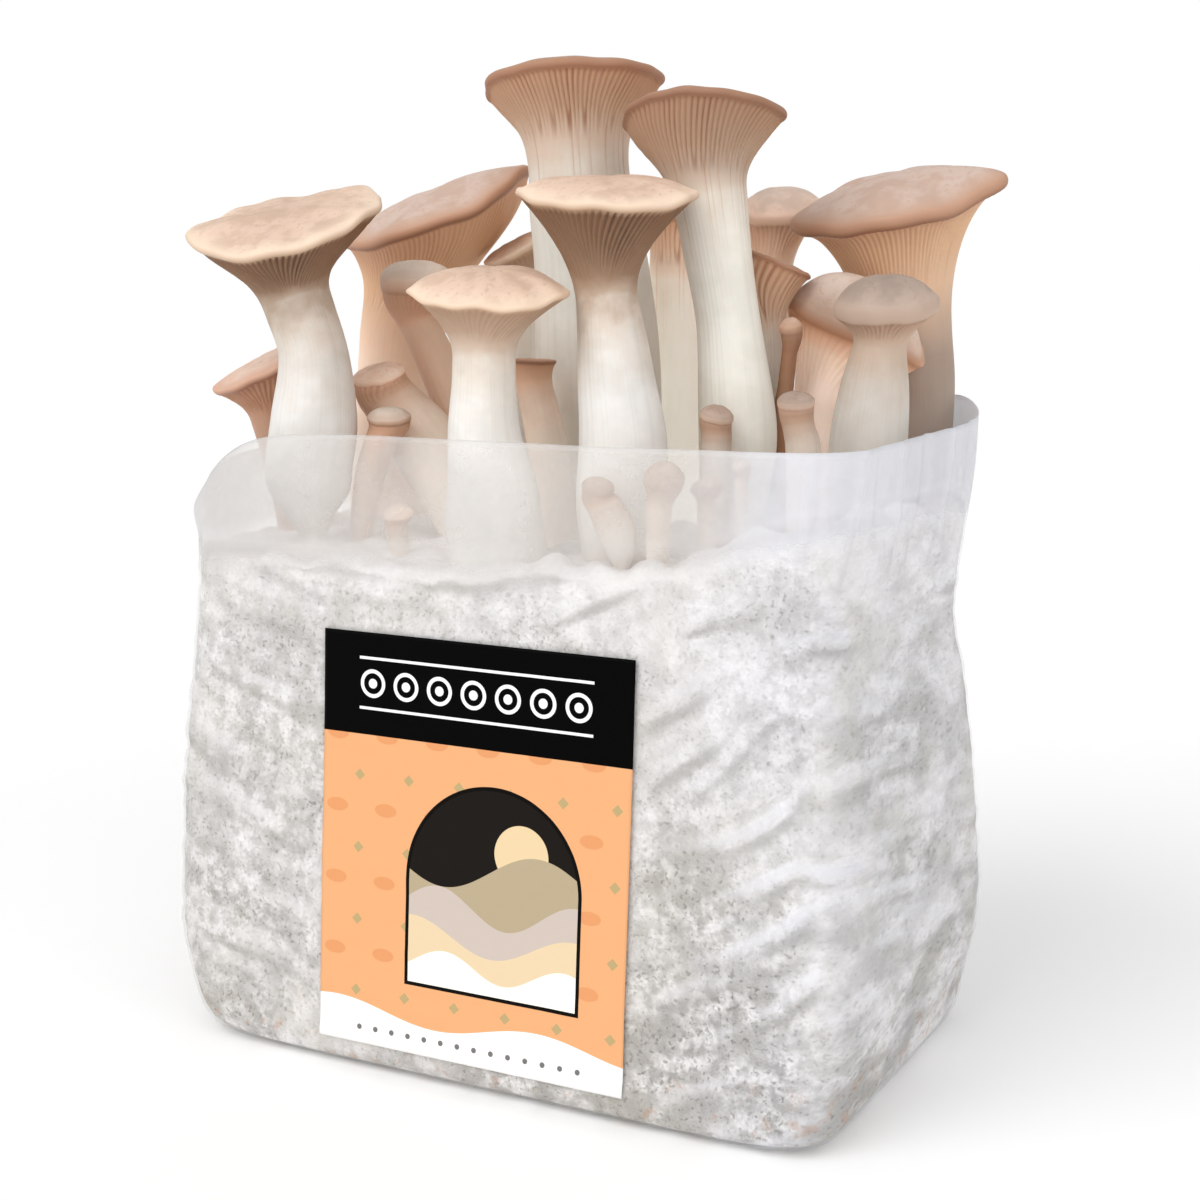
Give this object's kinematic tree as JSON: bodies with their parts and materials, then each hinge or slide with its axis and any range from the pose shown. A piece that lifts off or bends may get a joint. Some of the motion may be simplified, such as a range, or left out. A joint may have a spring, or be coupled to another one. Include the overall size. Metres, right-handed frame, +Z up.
{
  "type": "king trumpet mushroom grow block",
  "caption": "Block of overgrown sawdust in a clear open-topped bag with a paper label, fruiting a cluster of king trumpet mushrooms through the collar.",
  "frame": {"origin": "middle of the bag's flat base, on the surface that it stands on", "axes": "+X to the right along the labelled front, +Y from the labelled front to the back, +Z up"},
  "size_m": [0.2294, 0.1477, 0.2908],
  "materials": {
    "film": "clear bag film, slightly hazed and wrinkled",
    "mycelium": "sawdust overgrown with white mycelium, matt and mottled",
    "paper": "printed paper, peach with a dark band",
    "cream": "pale cap skin, dry and satin",
    "tan": "tan cap skin, dry and satin",
    "grey": "greyish cap skin, dry and satin",
    "pale": "pale stem flesh, dry and satin",
    "brown": "brown cap skin, dry and matt"
  },
  "bodies": {
    "root": {"substrate_block": "mycelium", "grow_bag": "film", "paper_label": "paper", "trumpet_front_left": "cream", "trumpet_far_left": "tan", "trumpet_back_left": "tan", "trumpet_front_centre_left": "cream", "trumpet_leaning_left": "grey", "trumpet_hidden_centre": "tan", "trumpet_tallest": "pale", "trumpet_front_centre": "cream", "trumpet_tall_right": "pale", "trumpet_behind_centre": "pale", "trumpet_flat_topped": "brown", "trumpet_back_small": "tan", "trumpet_gilled_small": "pale", "trumpet_tilted_right": "tan", "trumpet_front_right": "grey", "trumpet_back_right": "tan", "button_right": "tan", "button_behind_right": "brown", "button_centre": "tan", "button_leaning_left": "cream", "button_back_left": "tan", "pin_front_left": "cream", "pin_centre": "cream", "pin_centre_tall": "tan", "pin_right_of_centre": "tan", "pin_back_right": "tan", "pin_round": "tan"}
  },
  "joints": []
}
